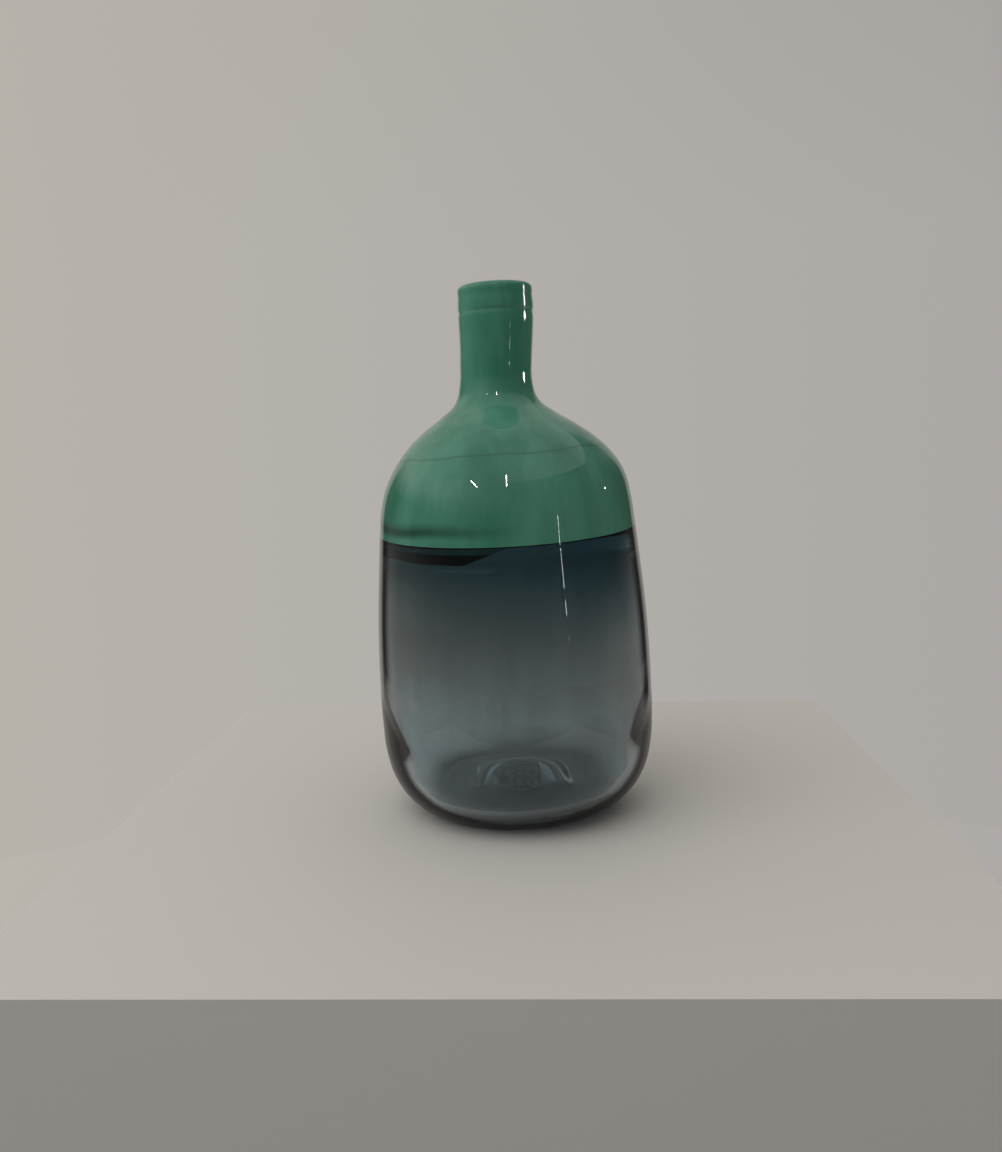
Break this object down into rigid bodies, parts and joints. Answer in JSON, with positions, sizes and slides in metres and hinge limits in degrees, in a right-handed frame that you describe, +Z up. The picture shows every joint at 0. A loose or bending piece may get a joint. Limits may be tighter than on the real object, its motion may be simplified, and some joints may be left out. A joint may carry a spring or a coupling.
{
  "type": "blown glass bottle vase",
  "caption": "Blown glass bottle vase: an opaque jade dome with a narrow neck and folded lip, welded over a clear smoke and steel blue body with a hollowed foot.",
  "frame": {"origin": "on the surface the vase stands on, under the middle of the belly", "axes": "+Z up; the vase's own axis leans 1.6 degrees towards -X as it rises; -Y is the front"},
  "size_m": [0.1219, 0.1216, 0.2303],
  "materials": {
    "smoke_glass": "fire polished transparent smoke glass",
    "steel_blue_glass": "transparent steel blue gather under the smoke casing",
    "weld_glass": "near black glass",
    "jade_glass": "fire polished opaque jade green glass",
    "scar_glass": "rough broken glass"
  },
  "bodies": {
    "root": {"body_casing": "smoke_glass", "body_core": "steel_blue_glass", "seam_weld": "weld_glass", "seam_lap": "weld_glass", "dome": "jade_glass", "lip": "jade_glass", "pontil_scar": "scar_glass"}
  },
  "joints": []
}
